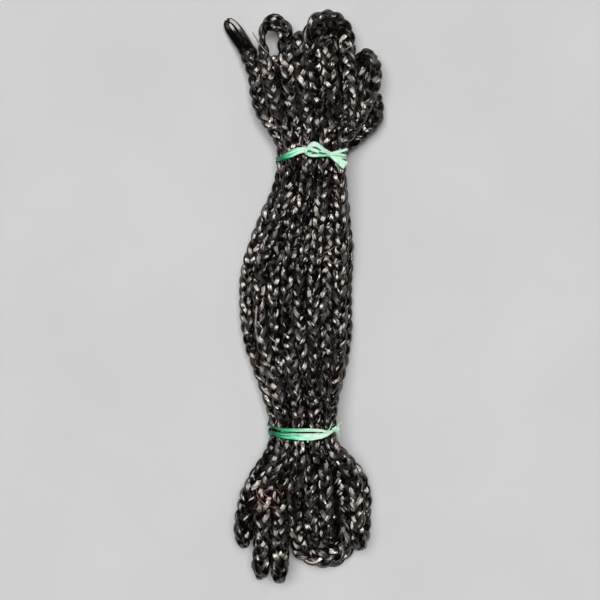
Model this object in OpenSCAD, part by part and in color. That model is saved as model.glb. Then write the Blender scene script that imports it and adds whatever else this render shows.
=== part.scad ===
// Climbing rope put away as a slim hank, tied near both ends with flat ribbon.
// The hank lies on its side: length along Y, width along X, the floor at z = 0.
// The rope is one unbroken tube. It runs sixteen times along the hank, and its
// strands keep their places in a grid of eight pairs that closes up in each tie
// and opens out in the belly and towards the loops at both ends.

/* [Rope] */
// Diameter of the rope
rope_d = 8.9; // [8:0.1:9.6]
// Free space between neighbouring strands
lay_gap = 0.75; // [0.7:0.05:1.2]

/* [Hank] */
// From the middle to the tip of the longest lower loop
lower_end = 199; // [194:1:225]
// From the middle to the tip of the longest upper loop
upper_end = 198; // [194:1:225]
// From the middle to the centre of the lower tie
lower_tie_y = 93; // [86:1:96]
// From the middle to the centre of the upper tie
upper_tie_y = 97.5; // [90:0.5:100]
// Turn of each strand pair where a tie closes the grid, degrees
tie_turn = 60; // [58:1:60]
// Turn of each strand pair in the open belly, degrees
belly_turn = 20; // [15:1:26]
// Turn of each strand pair where the loops fan out, degrees
fan_turn = 12; // [8:1:16]
// How far the loose upper rope end swings out sideways
tail_swing = 23.5; // [21:0.5:28]
// How far the slack strand beside the upper tie bows out
slack_bow = 9; // [3:0.5:12]

/* [Ribbon ties] */
// Thickness of the flat ribbon
ribbon_t = 0.5; // [0.3:0.1:0.8]
// Clearance between a ribbon and the rope
seat_gap = 0.3; // [0.3:0.05:0.5]
// Width of the upper ribbon
upper_ribbon_w = 5.5; // [4:0.5:7]
// Width of the upper wrap of the lower ribbon
lower_ribbon_thin_w = 2.4; // [1.5:0.1:3]
// Width of the lower wrap of the lower ribbon
lower_ribbon_wide_w = 4.6; // [3:0.1:5]
// Length of the folded knot of the upper ribbon
upper_knot_l = 15; // [12:0.5:18]
// Height of the folded knot of the upper ribbon
upper_knot_h = 4.5; // [3:0.5:6]
// Length of the short tail of the upper ribbon
short_tail_l = 11; // [8:0.5:14]
// Length of the long tail of the upper ribbon
long_tail_l = 14; // [10:0.5:18]
// Diameter of the small knot of the lower ribbon
lower_knot_d = 6; // [4:0.5:8]
// Length of the wisps that leave the lower knot
wisp_l = 7; // [4:0.5:10]

/* [Hidden] */

pitch = rope_d + lay_gap;               // from strand to strand
press_flat = rope_d / 10;               // the lowest strands are pressed flat by this
floor_z = rope_d / 2 - press_flat;      // centre height of a strand on the floor
tie_lift = ribbon_t + seat_gap + press_flat + 0.1;  // lifts the strands over a ribbon
tie_half = max(upper_ribbon_w, lower_ribbon_thin_w + lower_ribbon_wide_w + 1) / 2;
packed_row = sqrt(3) / 2;               // row step of closely packed strands
side_count = 6;                         // sides of the faceted rope
fold_rings = 4;                         // rings round each fold
ring_grow = 1.04;                       // keeps the faceted fold near its true arc
belly_half = 40;                        // the belly is widest over twice this length
fan_open = 25;                          // from a tie to the fullest spread of its fan
lower_loop_l = 43;                      // the loops take up this much of each end
upper_loop_l = 42;
lower_fan_y = lower_end - lower_loop_l; // where the lower grid is fully open
upper_fan_y = upper_end - upper_loop_l;
lower_hold_l = 34;                      // the grid holds for this far beyond each tie
upper_hold_l = 31;
lower_part_y = lower_tie_y + lower_hold_l;  // where the strands part towards their folds
upper_part_y = upper_tie_y + upper_hold_l;
tail_hold_l = 38;                       // from the tie to where the loose end swings out
tail_drop_l = 43;                       // the loose end drops to the floor over this length
tail_short = 4;                         // the loose end stops this far short of the tip
tail_bend_y = upper_tie_y + tail_hold_l;
tail_drop_y = upper_end - tail_drop_l;
tail_end_y = upper_end - tail_short;
tail_drop = 1.03 * pitch;
slack_rise = 22.5;                      // from the tie to the middle of the slack bow
slack_y = upper_tie_y + slack_rise;
slack_half = 28;
hidden_end_l = 44.5;                    // from the tie to the other rope end
hidden_end_y = upper_tie_y + hidden_end_l;  // tucked under the last loop
upper_knot_place = 4;                   // strands of the top row that the knots sit on
lower_knot_place = 7;
along_y = 0.75;                         // least share of Y in a stretch that counts as a run
gap_steps = 5;                          // points on each piece of the gap measure
gap_skip = 5 * rope_d;                  // length of rope that counts as the same place

// Stations along the hank: [y, value]. Values ease from one to the next.
middle_x = [[-lower_fan_y, 0.4], [-lower_tie_y - fan_open, 0.5],
            [-lower_tie_y - tie_half, 0.18], [-lower_tie_y + tie_half, 0.18], [0, -0.31],
            [upper_tie_y - tie_half, 0.79], [upper_tie_y + tie_half, 0.79],
            [upper_tie_y + fan_open, 1.1], [upper_fan_y, 1.16]];
turn = [[-lower_fan_y, fan_turn], [-lower_tie_y - tie_half, tie_turn],
        [-lower_tie_y + tie_half, tie_turn], [0, belly_turn],
        [upper_tie_y - tie_half, tie_turn], [upper_tie_y + tie_half, tie_turn],
        [upper_fan_y, fan_turn]];
spread = [[-lower_fan_y, 1.1], [-lower_tie_y - fan_open, 1.28], [-lower_tie_y - tie_half, 1.1],
          [-lower_tie_y + tie_half, 1.1], [-belly_half - 10, 1.07], [0, 1.02],
          [belly_half + 10, 1.07], [upper_tie_y - tie_half, 1.13],
          [upper_tie_y + tie_half, 1.13], [upper_tie_y + fan_open, 1.27], [upper_fan_y, 1.1]];
lift = [[-lower_fan_y, 0], [-lower_tie_y - tie_half, tie_lift], [-lower_tie_y + tie_half, tie_lift],
        [-belly_half, 0], [belly_half, 0], [upper_tie_y - tie_half, tie_lift],
        [upper_tie_y + tie_half, tie_lift], [upper_fan_y, 0]];
row_step = [[-lower_fan_y, 1], [-lower_tie_y - tie_half, packed_row],
            [-lower_tie_y + tie_half, packed_row], [0, 0.9],
            [upper_tie_y - tie_half, packed_row], [upper_tie_y + tie_half, packed_row],
            [upper_fan_y, 1]];

// The rope's way through the grid, run by run: [level, place from the left].
// Level 0 lies on the floor, level 1 on top of it. The first run starts at the loose
// end, and every second run comes back up the hank.
runs = [[1, 0], [0, 0], [0, 1], [1, 1], [1, 2], [0, 2], [1, 3], [1, 6],
        [1, 4], [0, 4], [1, 5], [0, 5], [0, 3], [0, 6], [1, 7], [0, 7]];

// The folds that join the runs, in the rope's order, in pitches but for the tilt:
// [short of the end, x and z of the left or lower leg, radius, tilt, 1 if the rope
// comes in on the other leg]. Tilt 0 lies flat and 90 stands on edge.
lower_folds = [[2.55, -3.85, 0, 1.15, 97, 1],
               [0.30, -2.75, 0, 1.20, 91, 0],
               [0, -1.42, 0, 1.20, 91, 1],
               [1.40, -0.29, 1.15, 1.76, 0, 0],
               [2.58, 1.22, 0, 1.20, 100, 1],
               [2.70, 2.24, 0, 1.20, 100, 1],
               [1.10, 0.12, 0, 1.69, 0, 0],
               [2.35, 4.58, 0, 1.25, 101, 1]];
upper_folds = [[2.95, -2.86, 0, 0.80, 0, 0],
               [0.25, -2.73, 1.61, 0.88, -10, 0],
               [1.20, 0, 0, 0.75, 90, 0],
               [0, 0.77, 2.85, 1.53, -32, 1],
               [1.60, 2.06, 0, 1.10, 94, 0],
               [0.55, 1.00, 0, 1.18, 0, 1],
               [2.50, 4.30, 0, 1.15, 64, 0]];
last_run = len(runs) - 1;

// Eases from 0 to 1
function ease(t) = let (u = min(1, max(0, t))) u * u * (3 - 2 * u);

// Value of a station table at y
function at(y, table, i = 0) =
    y <= table[0][0] ? table[0][1] :
    i + 1 >= len(table) ? table[i][1] :
    y <= table[i + 1][0] ?
        table[i][1] + (table[i + 1][1] - table[i][1])
            * ease((y - table[i][0]) / (table[i + 1][0] - table[i][0])) :
    at(y, table, i + 1);

// Place [x, z] of a strand in the grid at y
function grid(strand, y) =
    let (a = at(y, turn), h = at(y, row_step), odd = strand[1] % 2, pair = floor(strand[1] / 2),
         x = strand[0] == 0 ? odd * cos(a) : 0.5 - (1 - odd) * cos(a),
         z = strand[0] == 0 ? odd * sin(a) : h + (1 + odd) * sin(a),
         left = min(0, 0.5 - cos(a)), right = 6 * cos(a) + max(cos(a), 0.5))
    [(at(y, middle_x) + (x + 2 * pair * cos(a) - (left + right) / 2) * at(y, spread)) * pitch,
     floor_z + at(y, lift) + z * pitch];

// A fold's reach along Y and where its half turn starts; side is -1 below, 1 above
function reach(fold, side) =
    side * ((side < 0 ? lower_end : upper_end) - rope_d / 2 - fold[0] * pitch);
function fold_y(fold, side) = reach(fold, side) - side * fold[3] * pitch;

// Place [x, z] of a fold's legs; other is 1 for the leg away from the left or lower one
function leg(fold, other) =
    [fold[1] * pitch, floor_z + fold[2] * pitch]
    + other * 2 * fold[3] * pitch * [cos(fold[4]), sin(fold[4])];

// How far a run has parted from the grid towards a fold's leg
function parting(strand, y, fold, side, other) =
    let (part_y = side < 0 ? -lower_part_y : upper_part_y,
         fan_y = side < 0 ? -lower_fan_y : upper_fan_y)
    side * (y - part_y) <= 0 ? [0, 0] :
    (leg(fold, other) - grid(strand, fan_y)) * ease((y - part_y) / (fold_y(fold, side) - part_y));

// The loose end's swing and drop, and the slack strand's bow, as [x, z]
function tail(y) =
    y <= tail_bend_y ? [0, 0] :
    [-tail_swing * pow((y - tail_bend_y) / (tail_end_y - tail_bend_y), 2),
     -tail_drop * ease((y - tail_drop_y) / (tail_end_y - tail_drop_y))];
function slack(y) =
    abs(y - slack_y) >= slack_half ? [0, 0] :
    [slack_bow * (1 + cos(180 * (y - slack_y) / slack_half)) / 2, 0];

// The folds at the two ends of run i
function low_fold(i) = lower_folds[floor(i / 2)];
function high_fold(i) = upper_folds[floor((i - 1) / 2)];

// Centre of run i at y
function run_point(i, y) =
    let (low = low_fold(i), high = high_fold(i), down = i % 2 == 0,
         place = grid(runs[i], y)
             + parting(runs[i], y, low, -1, down ? low[5] : 1 - low[5])
             + (i == 0 ? tail(y) : i == last_run ? slack(y) :
                parting(runs[i], y, high, 1, down ? 1 - high[5] : high[5])))
    [place[0], y, place[1]];

// Heights of a run's rings, and the run from its start to its end
ring_ys = [-lower_part_y, -lower_tie_y - tie_half, -lower_tie_y + tie_half, -belly_half,
           belly_half, upper_tie_y - tie_half, upper_tie_y + tie_half, upper_part_y];
tail_ys = [for (t = [0.18, 0.46, 0.74, 1]) tail_bend_y + t * (tail_end_y - tail_bend_y)];
function run_ys(i) = concat(ring_ys, i == 0 ? tail_ys : i == last_run ? [hidden_end_y] : []);
function run(i) =
    let (ys = run_ys(i), n = len(ys))
    [for (j = [0 : n - 1]) run_point(i, i % 2 == 0 ? ys[n - 1 - j] : ys[j])];

// The half turn that follows run i
function fold(i) =
    let (side = i % 2 == 0 ? -1 : 1, f = side < 0 ? low_fold(i) : high_fold(i + 1),
         r = f[3] * pitch, across = [cos(f[4]), 0, sin(f[4])],
         start = leg(f, 0), centre = [start[0], fold_y(f, side), start[1]] + r * across)
    [for (j = [0 : fold_rings - 1])
        let (a = 180 * (j + 0.5) / fold_rings, b = f[5] == 1 ? 180 - a : a,
             q = centre + ring_grow * r * (side * sin(b) * [0, 1, 0] - cos(b) * across))
        [q[0], q[1], max(q[2], floor_z)]];

way = [for (i = [0 : last_run]) each concat(run(i), i < last_run ? fold(i) : [])];

// The hank's outline is centred on the origin
function outline_mid(axis) =
    let (v = [for (q = way) q[axis]]) (min(v) + max(v)) / 2;
shift = [-outline_mid(0), -outline_mid(1), 0];
route = [for (q = way) q + shift];

function unit(v) = v / norm(v);
function step_on(path, i) = unit(path[i + 1] - path[i]);
function along(path, i) =
    unit(step_on(path, max(i - 1, 0)) + step_on(path, min(i, len(path) - 2)));
function square_to(v, t) = unit(v - (v * t) * t);

// Turns a ring that runs along Y by the least angle that lays one of its sides level
function level_side(u, t, sides) =
    let (up = square_to([0, 0, 1], t), w = cross(t, up), part = 360 / sides,
         a = part * round(atan2(u * w, u * up) / part))
    cos(a) * up + sin(a) * w;
function carry(u, t, sides) =
    let (v = square_to(u, t)) abs(t[1]) > along_y ? level_side(v, t, sides) : v;

// A tube along a path, carried round the bends and pressed flat on the floor
module tube(path, d, sides) {
    n = len(path);
    ups = [for (i = 0, u = square_to([0, 0, 1], along(path, 0)); i < n;
                i = i + 1, u = i < n ? carry(u, along(path, i), sides) : u) u];
    rings = [for (i = [0 : n - 1])
        let (t = along(path, i), u = ups[i], w = cross(t, u))
        [for (k = [0 : sides - 1])
            let (a = 360 * (k + 0.5) / sides, q = path[i] + d / 2 * (cos(a) * u + sin(a) * w))
            [q[0], q[1], max(q[2], 0)]]];
    walls = [for (i = [0 : n - 2]) for (k = [0 : sides - 1])
        let (a = i * sides + k, b = i * sides + (k + 1) % sides, c = a + sides, e = b + sides)
        each [[a, c, b], [b, c, e]]];
    caps = [for (k = [1 : sides - 2]) each [[0, k, k + 1],
        [(n - 1) * sides, (n - 1) * sides + k + 1, (n - 1) * sides + k]]];
    polyhedron([for (r = rings) each r], concat(walls, caps), convexity = 12);
}

// Least distance from a point to the pieces of the path that lie further along
function to_piece(q, a, b) =
    let (v = b - a, s = min(1, max(0, ((q - a) * v) / (v * v)))) norm(q - a - s * v);
function lengths(path) =
    [for (i = 0, s = 0; i < len(path);
          s = s + (i + 1 < len(path) ? norm(path[i + 1] - path[i]) : 0), i = i + 1) s];
function least_gap(path, d) =
    let (s = lengths(path), n = len(path))
    min([for (i = [0 : n - 2]) for (j = [0 : gap_steps - 1])
        let (q = path[i] + (path[i + 1] - path[i]) * j / gap_steps,
             here = s[i] + (s[i + 1] - s[i]) * j / gap_steps)
        for (k = [i + 1 : 1 : n - 2])
            if (s[k] - here > gap_skip) to_piece(q, path[k], path[k + 1])]) - d;

module rope_hank() {
    echo(least_gap_mm = least_gap(route, rope_d), rope_length_mm = lengths(route)[len(route) - 1],
         rings = len(route));
    color([0.10, 0.09, 0.09]) tube(route, rope_d, side_count);
}

// Outline of the bundle in a tie, clear of the strands by margin
module waist(y, margin) {
    hull()
        for (strand = runs) {
            place = grid(strand, y);
            translate([place[0] + shift[0], place[1]]) circle(d = rope_d + 2 * margin, $fn = 32);
        }
}

// One turn of ribbon round the bundle at the tie y, its own middle at mid_y
module band(y, mid_y, width) {
    translate([0, mid_y + width / 2 + shift[1], 0]) rotate([90, 0, 0])
        linear_extrude(width) difference() {
            waist(y, seat_gap + ribbon_t);
            waist(y, seat_gap);
        }
}

// Top of the wraps, and the place [x, y, z] on them above a strand of the top row
function wrap_top(y) = grid([1, 1], y)[1] + rope_d / 2 + seat_gap + ribbon_t;
function on_wrap(y, place) = [grid([1, place], y)[0], y, wrap_top(y)] + shift;

module upper_tie_wrap() {
    color([0.45, 0.85, 0.68]) band(upper_tie_y, upper_tie_y, upper_ribbon_w);
}

// The folded knot: a flat bow with a hump, seated on the wrap
module upper_tie_knot() {
    color([0.50, 0.90, 0.72]) translate(on_wrap(upper_tie_y, upper_knot_place)) linear_extrude(upper_knot_h, scale = 0.6)
        hull() {
            translate([-upper_knot_l / 2, 0]) circle(d = upper_ribbon_w * 0.8, $fn = 16);
            translate([0, upper_ribbon_w * 0.35]) circle(d = upper_ribbon_w * 1.4, $fn = 16);
            translate([upper_knot_l / 2, 0]) circle(d = upper_ribbon_w * 0.8, $fn = 16);
        }
}

// A flat ribbon end: it leaves the knot at the origin along X and widens to its end
module ribbon_end(length, from_w, to_w) {
    linear_extrude(2 * ribbon_t)
        polygon([[0, -from_w / 2], [length, -to_w / 2], [length, to_w / 2], [0, from_w / 2]]);
}

module upper_tie_tails() {
    color([0.55, 0.92, 0.75])
        translate(on_wrap(upper_tie_y, upper_knot_place) + [upper_knot_l / 2 + upper_ribbon_w * 0.4, 0, 0]) {
            rotate(20) ribbon_end(short_tail_l, upper_ribbon_w * 0.5, upper_ribbon_w * 0.6);
            rotate(-38) ribbon_end(long_tail_l, upper_ribbon_w * 0.5, upper_ribbon_w * 1.1);
        }
}

// Two turns of the lower ribbon, side by side
module lower_tie_wraps() {
    color([0.40, 0.82, 0.62]) {
        band(-lower_tie_y, -lower_tie_y + (lower_ribbon_wide_w + seat_gap) / 2, lower_ribbon_thin_w);
        band(-lower_tie_y, -lower_tie_y - (lower_ribbon_thin_w + seat_gap) / 2, lower_ribbon_wide_w);
    }
}

module lower_tie_knot() {
    color([0.48, 0.88, 0.70]) translate(on_wrap(-lower_tie_y, lower_knot_place))
        linear_extrude(lower_knot_d / 2, scale = 0.6) circle(d = lower_knot_d, $fn = 16);
}

module lower_tie_tails() {
    color([0.55, 0.92, 0.75])
        translate(on_wrap(-lower_tie_y, lower_knot_place))
            for (angle = [15, 65])
                rotate(angle) translate([lower_knot_d / 2, 0, 0])
                    ribbon_end(wisp_l, lower_ribbon_thin_w * 0.4, lower_ribbon_thin_w * 0.6);
}

rope_hank();
upper_tie_wrap();
upper_tie_knot();
upper_tie_tails();
lower_tie_wraps();
lower_tie_knot();
lower_tie_tails();
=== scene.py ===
import math

import bpy
import numpy as np
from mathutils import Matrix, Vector
from mathutils.bvhtree import BVHTree


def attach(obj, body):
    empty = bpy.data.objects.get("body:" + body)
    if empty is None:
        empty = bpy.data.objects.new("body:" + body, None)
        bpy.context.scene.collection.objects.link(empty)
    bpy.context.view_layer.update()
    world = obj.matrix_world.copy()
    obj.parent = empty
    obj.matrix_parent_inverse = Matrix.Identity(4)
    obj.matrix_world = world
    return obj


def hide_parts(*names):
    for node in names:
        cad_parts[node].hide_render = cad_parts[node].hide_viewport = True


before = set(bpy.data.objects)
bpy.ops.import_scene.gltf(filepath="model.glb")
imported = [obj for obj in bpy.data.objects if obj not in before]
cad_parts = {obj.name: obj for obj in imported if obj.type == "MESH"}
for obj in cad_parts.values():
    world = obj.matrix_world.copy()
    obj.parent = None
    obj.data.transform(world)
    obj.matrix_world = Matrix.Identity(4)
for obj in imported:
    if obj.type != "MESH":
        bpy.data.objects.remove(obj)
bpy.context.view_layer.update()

MM = 0.001

# ---- the rope's way, as in the CAD source ----
ROPE_D = 8.9 * MM
LAY_GAP = 0.75 * MM
PITCH = ROPE_D + LAY_GAP
PRESS_FLAT = ROPE_D / 10     # how far the lowest strands are pressed flat
FLOOR_Z = ROPE_D / 2 - PRESS_FLAT
LOWER_END = 199 * MM
UPPER_END = 198 * MM
LOWER_TIE_Y = 93 * MM
UPPER_TIE_Y = 97.5 * MM
TIE_TURN = 60
BELLY_TURN = 20
FAN_TURN = 12
TAIL_SWING = 23.5 * MM
SLACK_BOW = 9 * MM
RIBBON_T = 0.5 * MM
SEAT_GAP = 0.3 * MM
FLOOR_GAP = 0.1 * MM         # from a ribbon's underside to the floor
TIE_LIFT = RIBBON_T + SEAT_GAP + PRESS_FLAT + FLOOR_GAP
TIE_HALF = 4 * MM
PACKED_ROW = math.sqrt(3) / 2
BELLY_HALF = 40 * MM
FAN_OPEN = 25 * MM
LOWER_FAN_Y = LOWER_END - 43 * MM
UPPER_FAN_Y = UPPER_END - 42 * MM
LOWER_PART_Y = LOWER_TIE_Y + 34 * MM
UPPER_PART_Y = UPPER_TIE_Y + 31 * MM
TAIL_BEND_Y = UPPER_TIE_Y + 38 * MM
TAIL_DROP_Y = UPPER_END - 43 * MM
TAIL_END_Y = UPPER_END - 4 * MM
TAIL_DROP = 1.03 * PITCH
SLACK_Y = UPPER_TIE_Y + 22.5 * MM
SLACK_HALF = 28 * MM
HIDDEN_END_Y = UPPER_TIE_Y + 44.5 * MM
TAIL_RINGS = (0.18, 0.46, 0.74, 1)   # places of the CAD tube's rings on the loose end
FOLD_RINGS = 4               # rings of the CAD tube round a fold
RING_GROW = 1.04             # and how much wider than the fold they lie
RUN_POINTS = 160             # points on a run and round a fold, for the looks
TURN_POINTS = 24
FINE_STEP = 0.7 * MM
ROUND_OFF = 4                # fine steps over which the rope's way is rounded off
STEP = 1.5 * MM              # from ring to ring of the rope's mesh


def lower_tie(value):
    return [(-LOWER_TIE_Y - TIE_HALF, value), (-LOWER_TIE_Y + TIE_HALF, value)]


def upper_tie(value):
    return [(UPPER_TIE_Y - TIE_HALF, value), (UPPER_TIE_Y + TIE_HALF, value)]


# Stations along the hank: (y, value). Values ease from one to the next.
MIDDLE_X = [(-LOWER_FAN_Y, 0.4), (-LOWER_TIE_Y - FAN_OPEN, 0.5), *lower_tie(0.18), (0, -0.31),
            *upper_tie(0.79), (UPPER_TIE_Y + FAN_OPEN, 1.1), (UPPER_FAN_Y, 1.16)]
TURN = [(-LOWER_FAN_Y, FAN_TURN), *lower_tie(TIE_TURN), (0, BELLY_TURN), *upper_tie(TIE_TURN),
        (UPPER_FAN_Y, FAN_TURN)]
SPREAD = [(-LOWER_FAN_Y, 1.1), (-LOWER_TIE_Y - FAN_OPEN, 1.28), *lower_tie(1.1),
          (-BELLY_HALF - 10 * MM, 1.07), (0, 1.02), (BELLY_HALF + 10 * MM, 1.07), *upper_tie(1.13),
          (UPPER_TIE_Y + FAN_OPEN, 1.27), (UPPER_FAN_Y, 1.1)]
LIFT = [(-LOWER_FAN_Y, 0), *lower_tie(TIE_LIFT), (-BELLY_HALF, 0), (BELLY_HALF, 0),
        *upper_tie(TIE_LIFT), (UPPER_FAN_Y, 0)]
ROW_STEP = [(-LOWER_FAN_Y, 1), *lower_tie(PACKED_ROW), (0, 0.9), *upper_tie(PACKED_ROW),
            (UPPER_FAN_Y, 1)]

# The rope's order through the grid: (level, place from the left)
RUNS = [(1, 0), (0, 0), (0, 1), (1, 1), (1, 2), (0, 2), (1, 3), (1, 6),
        (1, 4), (0, 4), (1, 5), (0, 5), (0, 3), (0, 6), (1, 7), (0, 7)]
LAST_RUN = len(RUNS) - 1

# Folds, in pitches but for the tilt: (short of the end, x and z of the left or lower leg,
# radius, tilt in degrees, 1 if the rope comes in on the other leg)
LOWER_FOLDS = [(2.55, -3.85, 0, 1.15, 97, 1), (0.30, -2.75, 0, 1.20, 91, 0),
               (0, -1.42, 0, 1.20, 91, 1), (1.40, -0.29, 1.15, 1.76, 0, 0),
               (2.58, 1.22, 0, 1.20, 100, 1), (2.70, 2.24, 0, 1.20, 100, 1),
               (1.10, 0.12, 0, 1.69, 0, 0), (2.35, 4.58, 0, 1.25, 101, 1)]
UPPER_FOLDS = [(2.95, -2.86, 0, 0.80, 0, 0), (0.25, -2.73, 1.61, 0.88, -10, 0),
               (1.20, 0, 0, 0.75, 90, 0), (0, 0.77, 2.85, 1.53, -32, 1),
               (1.60, 2.06, 0, 1.10, 94, 0), (0.55, 1.00, 0, 1.18, 0, 1),
               (2.50, 4.30, 0, 1.15, 64, 0)]


def ease(t):
    u = np.clip(t, 0.0, 1.0)
    return u * u * (3 - 2 * u)


def at(y, table):
    """Value of a station table at y."""
    ys, values = (np.array(column, float) for column in zip(*table))
    i = np.clip(np.searchsorted(ys, y) - 1, 0, len(ys) - 2)
    return values[i] + (values[i + 1] - values[i]) * ease((y - ys[i]) / (ys[i + 1] - ys[i]))


def grid(strand, y):
    """Place (x, z) of a strand in the grid at y."""
    a, h = np.radians(at(y, TURN)), at(y, ROW_STEP)
    odd, pair = strand[1] % 2, strand[1] // 2
    cos, sin = np.cos(a), np.sin(a)
    x = odd * cos if strand[0] == 0 else 0.5 - (1 - odd) * cos
    z = odd * sin if strand[0] == 0 else h + (1 + odd) * sin
    middle = (np.minimum(0, 0.5 - cos) + 6 * cos + np.maximum(cos, 0.5)) / 2
    across = at(y, MIDDLE_X) + (x + 2 * pair * cos - middle) * at(y, SPREAD)
    return np.stack([across * PITCH, FLOOR_Z + at(y, LIFT) + z * PITCH], axis=-1)


def fold_y(fold, side):
    end = LOWER_END if side < 0 else UPPER_END
    return side * (end - ROPE_D / 2 - fold[0] * PITCH - fold[3] * PITCH)


def leg(fold, other):
    """Place (x, z) of a fold's legs; other is 1 for the leg away from the left or lower one."""
    tilt = math.radians(fold[4])
    first = np.array([fold[1] * PITCH, FLOOR_Z + fold[2] * PITCH])
    return first + other * 2 * fold[3] * PITCH * np.array([math.cos(tilt), math.sin(tilt)])


def parting(strand, y, fold, side, other):
    """How far a run has parted from the grid towards a fold's leg."""
    part_y, fan_y = (-LOWER_PART_Y, -LOWER_FAN_Y) if side < 0 else (UPPER_PART_Y, UPPER_FAN_Y)
    share = ease((y - part_y) / (fold_y(fold, side) - part_y))
    return share[:, None] * (leg(fold, other) - grid(strand, np.array(fan_y)))


def tail(y):
    """The loose end's swing and drop."""
    t = np.maximum((y - TAIL_BEND_Y) / (TAIL_END_Y - TAIL_BEND_Y), 0)
    drop = ease((y - TAIL_DROP_Y) / (TAIL_END_Y - TAIL_DROP_Y))
    return np.stack([-TAIL_SWING * t ** 2, -TAIL_DROP * drop], axis=-1)


def slack(y):
    """The slack strand's bow."""
    t = np.clip((y - SLACK_Y) / SLACK_HALF, -1, 1)
    return np.stack([SLACK_BOW * (1 + np.cos(np.pi * t)) / 2, 0 * y], axis=-1)


def low_fold(i):
    return LOWER_FOLDS[i // 2]


def high_fold(i):
    return UPPER_FOLDS[(i - 1) // 2]


def run(i, y):
    """Points of run i at the heights y, from its start to its end."""
    down = i % 2 == 0
    low = low_fold(i)
    place = grid(RUNS[i], y) + parting(RUNS[i], y, low, -1, low[5] if down else 1 - low[5])
    if i == 0:
        place = place + tail(y)
    elif i == LAST_RUN:
        place = place + slack(y)
    else:
        high = high_fold(i)
        place = place + parting(RUNS[i], y, high, 1, 1 - high[5] if down else high[5])
    points = np.stack([place[:, 0], y, place[:, 1]], axis=-1)
    return points[::-1] if down else points


def half_turn(i, count, grow):
    """The half turn that follows run i."""
    side = -1 if i % 2 == 0 else 1
    fold = low_fold(i) if side < 0 else high_fold(i + 1)
    radius, tilt, start = fold[3] * PITCH, math.radians(fold[4]), leg(fold, 0)
    across = np.array([math.cos(tilt), 0, math.sin(tilt)])
    centre = np.array([start[0], fold_y(fold, side), start[1]]) + radius * across
    b = np.pi * (np.arange(count) + 0.5) / count
    b = np.pi - b if fold[5] == 1 else b
    points = centre + grow * radius * (side * np.sin(b)[:, None] * np.array([0, 1, 0])
                                       - np.cos(b)[:, None] * across)
    points[:, 2] = np.maximum(points[:, 2], FLOOR_Z)
    return points


def cad_shift():
    """The step that puts the middle of the CAD tube's ring centres over the origin."""
    ys = [-LOWER_PART_Y, -LOWER_TIE_Y - TIE_HALF, -LOWER_TIE_Y + TIE_HALF, -BELLY_HALF,
          BELLY_HALF, UPPER_TIE_Y - TIE_HALF, UPPER_TIE_Y + TIE_HALF, UPPER_PART_Y]
    tail_ys = [TAIL_BEND_Y + t * (TAIL_END_Y - TAIL_BEND_Y) for t in TAIL_RINGS]
    more = {0: tail_ys, LAST_RUN: [HIDDEN_END_Y]}
    rings = [run(i, np.array(ys + more.get(i, []))) for i in range(len(RUNS))]
    rings += [half_turn(i, FOLD_RINGS, RING_GROW) for i in range(LAST_RUN)]
    points = np.concatenate(rings)
    middle = (points.min(axis=0) + points.max(axis=0)) / 2
    return np.array([-middle[0], -middle[1], 0])


def distances(points):
    """Distance of each point of a line from its start."""
    return np.concatenate([[0], np.cumsum(np.linalg.norm(np.diff(points, axis=0), axis=1))])


def resample(points, step):
    """Points at equal steps along a line of points, and the distance of each from the start."""
    s = distances(points)
    at_s = np.linspace(0, s[-1], int(round(s[-1] / step)) + 1)
    return np.stack([np.interp(at_s, s, points[:, k]) for k in range(3)], axis=-1), at_s


def smooth(points, reach):
    """Rounds off a line of points over reach steps, with its two ends kept in place."""
    kernel = np.exp(-0.5 * (np.arange(-3 * reach, 3 * reach + 1) / reach) ** 2)
    kernel /= kernel.sum()
    first = 2 * points[0] - points[3 * reach:0:-1]
    last = 2 * points[-1] - points[-2:-3 * reach - 2:-1]
    padded = np.concatenate([first, points, last])
    return np.stack([np.convolve(padded[:, k], kernel, "valid") for k in range(3)], axis=-1)


def rope_route():
    """The centreline from the loose upper end to the hidden end, the distance of its points from
    the start, and where its runs and folds start."""
    parts = []
    for i in range(len(RUNS)):
        top = TAIL_END_Y if i == 0 else HIDDEN_END_Y if i == LAST_RUN else fold_y(high_fold(i), 1)
        parts.append(run(i, np.linspace(fold_y(low_fold(i), -1), top, RUN_POINTS)))
        if i < LAST_RUN:
            parts.append(half_turn(i, TURN_POINTS, 1.0))
    whole = np.concatenate(parts)
    starts = distances(whole)[np.cumsum([0] + [len(points) for points in parts[:-1]])]
    points, s = resample(smooth(resample(whole, FINE_STEP)[0], ROUND_OFF), STEP)
    points[:, 2] = np.maximum(points[:, 2], FLOOR_Z)
    return points + SHIFT, s, starts


SHIFT = cad_shift()
route, route_s, starts = rope_route()
rope_length = route_s[-1]


# ---- camera: straight above the hank, which fills the frame's height ----
VIEW_SPAN = 416.6 * MM       # seen at the height of the rope's middle
VIEW_HEIGHT = 17 * MM
VIEW_Y = -1.7 * MM
LENS = 100                   # focal length and sensor width, in mm
SENSOR = 36
camera = bpy.data.objects.new("camera", bpy.data.cameras.new("camera"))
camera.data.lens = LENS
camera.data.sensor_width = SENSOR
camera.data.clip_start = 0.01
camera.data.clip_end = 20
camera.location = (SHIFT[0], VIEW_Y + SHIFT[1], VIEW_HEIGHT + VIEW_SPAN * LENS / SENSOR)
bpy.context.scene.collection.objects.link(camera)
bpy.context.scene.camera = camera


# ---- meshes ----
SECTION_U = 14 * MM          # what a strand's or a band's U counts to, once round its section
FIBRE_U = 1 * MM
RING_V = 1 * MM              # and V, from ring to ring of a ribbon or a fibre


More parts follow.
